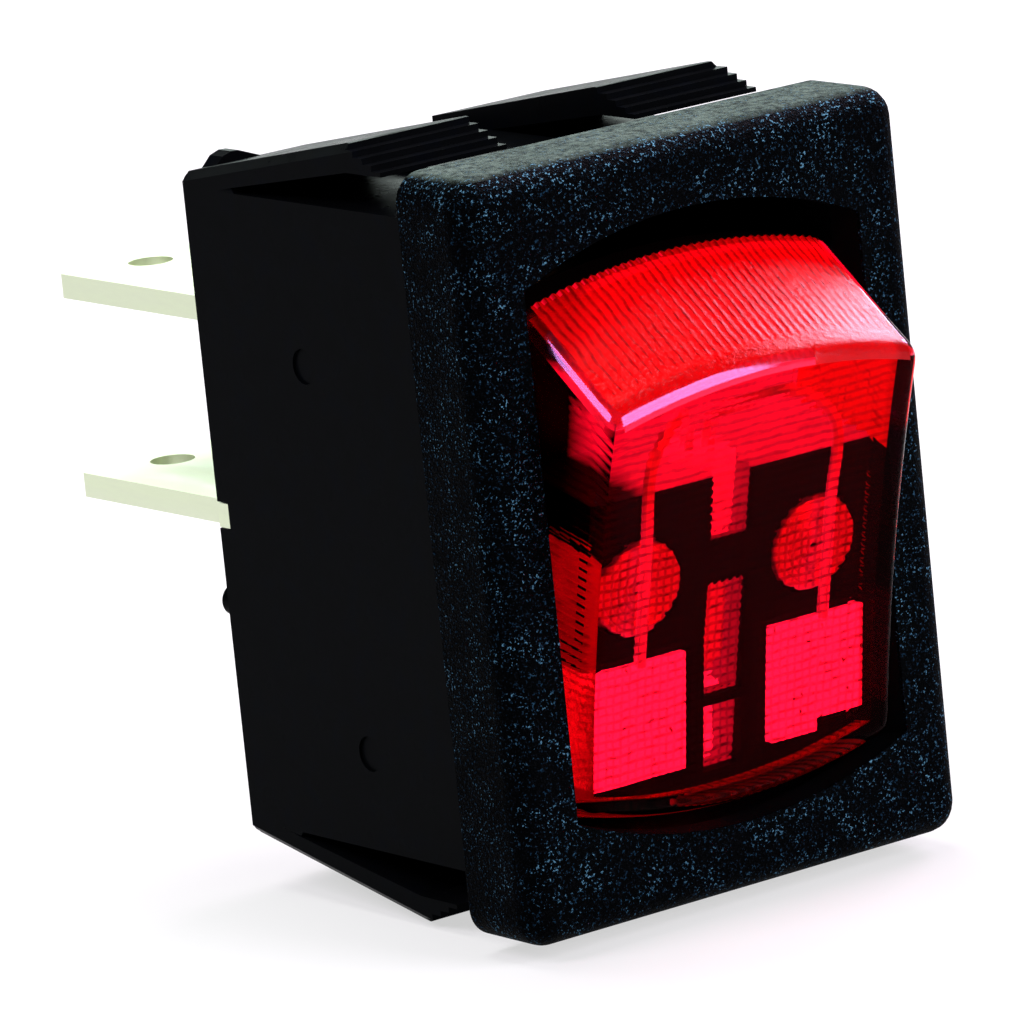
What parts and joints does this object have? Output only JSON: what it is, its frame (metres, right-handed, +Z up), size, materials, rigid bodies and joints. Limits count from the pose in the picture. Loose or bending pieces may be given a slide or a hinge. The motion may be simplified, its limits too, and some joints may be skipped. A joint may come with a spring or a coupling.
{
  "type": "panel rocker switch",
  "caption": "Lit snap-in panel rocker switch with a clear red rocker, black bezel and body with stepped snap arms, sprung plungers, rocking contacts and flat blade terminals.",
  "frame": {"origin": "centre of the bezel's rear plane, which seats on the panel", "axes": "+X across the switch, +Y into the panel, +Z up; the rocker's top end is out"},
  "size_m": [0.015, 0.0254, 0.0218],
  "materials": {
    "housing": "fine moulded grain",
    "lens": "clear, moulded ribs",
    "carrier": "smooth",
    "lamp_glass": "clear",
    "resistor": "lacquered",
    "lead_wire": "tinned",
    "lamp_plate": "tinned",
    "plunger": "turned",
    "spring": "drawn wire",
    "lever": "pressed copper strip",
    "contact": "silver",
    "terminal": "silver plated"
  },
  "bodies": {
    "housing": {"housing": "housing", "fixed_contact_left": "contact", "fixed_contact_right": "contact", "load_terminal_left": "terminal", "load_terminal_right": "terminal", "common_terminal_left": "terminal", "common_terminal_right": "terminal"},
    "rocker": {"rocker_lens": "lens", "rocker_carrier": "carrier", "lamp_tube": "lamp_glass", "lamp_resistor": "resistor", "lamp_lead_left": "lead_wire", "lamp_lead_right": "lead_wire", "lamp_plate_left": "lamp_plate", "lamp_plate_right": "lamp_plate", "plunger_spring_left": "spring", "plunger_spring_right": "spring"},
    "plunger_left": {"plunger_left": "plunger"},
    "lever_left": {"contact_lever_left": "lever", "moving_contact_left": "contact"},
    "plunger_right": {"plunger_right": "plunger"},
    "lever_right": {"contact_lever_right": "lever", "moving_contact_right": "contact"}
  },
  "joints": [
    {"name": "rocker_tilt", "type": "hinge", "parent": "housing", "child": "rocker", "pos_m": [0, 0.0024, 0], "axis": [-1, 0, 0], "range_deg": [0, 28.4]},
    {"name": "lever_rock_left", "type": "hinge", "parent": "housing", "child": "lever_left", "pos_m": [-0.003, 0.00825, 0], "axis": [1, 0, 0], "range_deg": [0, 14.2]},
    {"name": "plunger_slide_left", "type": "slide", "parent": "rocker", "child": "plunger_left", "axis": [0, -0.9694, -0.2453], "range_m": [0, 0.0006], "stiffness_N_per_m": 300, "springref_m": -0.002, "deforming": ["plunger_spring_left"]},
    {"name": "lever_rock_right", "type": "hinge", "parent": "housing", "child": "lever_right", "pos_m": [0.003, 0.00825, 0], "axis": [1, 0, 0], "range_deg": [0, 14.2]},
    {"name": "plunger_slide_right", "type": "slide", "parent": "rocker", "child": "plunger_right", "axis": [0, -0.9694, -0.2453], "range_m": [0, 0.0006], "stiffness_N_per_m": 300, "springref_m": -0.002, "deforming": ["plunger_spring_right"]}
  ],
  "couplings": [
    {"joint": "lever_rock_left", "follows": "rocker_tilt", "ratio": 0.5},
    {"joint": "lever_rock_right", "follows": "rocker_tilt", "ratio": 0.5}
  ]
}
